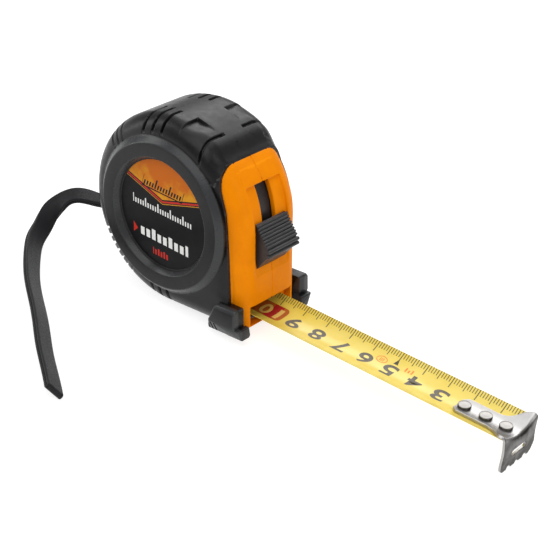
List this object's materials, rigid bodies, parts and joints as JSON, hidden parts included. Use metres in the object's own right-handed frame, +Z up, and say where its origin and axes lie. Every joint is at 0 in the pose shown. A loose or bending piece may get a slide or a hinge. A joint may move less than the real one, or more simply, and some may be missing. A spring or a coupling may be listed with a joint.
{
  "type": "tape measure",
  "caption": "Pocket tape measure with a rubber-jacketed case, a locked cupped blade drawn out 10 cm, a riveted end hook, a belt clip and a wrist strap.",
  "frame": {"origin": "on the table, straight under the axis of the spool", "axes": "+X along the drawn blade towards its hook, +Y across the case to the side with the belt clip, +Z up"},
  "size_m": [0.2004, 0.1074, 0.069],
  "materials": {
    "orange_shell": "satin moulded ABS with a fine grain",
    "rubber": "matt soft-touch overmould",
    "label_print": null,
    "button_plastic": "moulded, ribbed",
    "lock_plastic": "flexible moulded strip",
    "blade_paint": "yellow lacquer with printed marks",
    "hook_steel": "plated",
    "rivet_steel": "domed heads",
    "spool_plastic": "natural moulded plastic",
    "spring_steel": "blued strip",
    "post_steel": "turned",
    "screw_steel": "zinc plated",
    "clip_steel": "plated spring steel",
    "webbing": "woven nylon band, folded double"
  },
  "bodies": {
    "case": {"case_right": "orange_shell", "case_left": "orange_shell", "grip_right": "rubber", "grip_left": "rubber", "label_right": "label_print", "label_left": "label_print", "blade_run": "blade_paint", "arbor": "post_steel", "centre_screw": "screw_steel", "case_screws": "screw_steel", "belt_clip": "clip_steel", "clip_screw": "screw_steel", "strap_bar": "post_steel", "wrist_strap": "webbing"},
    "lock": {"lock_button": "button_plastic", "lock_strip": "lock_plastic", "brake_shoe": "lock_plastic"},
    "blade_end": {"blade_tip": "blade_paint", "blade": "blade_paint", "hook_rivets": "rivet_steel"},
    "hook": {"end_hook": "hook_steel"},
    "spool": {"spool": "spool_plastic", "spool_cover": "spool_plastic", "power_spring": "spring_steel", "blade_coil": "blade_paint"}
  },
  "joints": [
    {"name": "lock_travel", "type": "hinge", "parent": "case", "child": "lock", "pos_m": [0, 0, 0.0345], "axis": [0, -1, 0], "range_deg": [0, 13.5]},
    {"name": "blade_slide", "type": "slide", "parent": "case", "child": "blade_end", "axis": [0.9995, 0, 0.0331], "range_m": [-0.097, 0], "deforming": ["blade", "blade_run"]},
    {"name": "hook_play", "type": "slide", "parent": "blade_end", "child": "hook", "axis": [0.9995, 0, 0.0331], "range_m": [0, 0.001]},
    {"name": "spool_turn", "type": "hinge", "parent": "case", "child": "spool", "pos_m": [0, 0, 0.0345], "axis": [0, 1, 0], "range_deg": [0, 230], "deforming": ["power_spring"]}
  ],
  "couplings": [
    {"joint": "spool_turn", "follows": "blade_slide", "rad_per_m": -41.32}
  ]
}
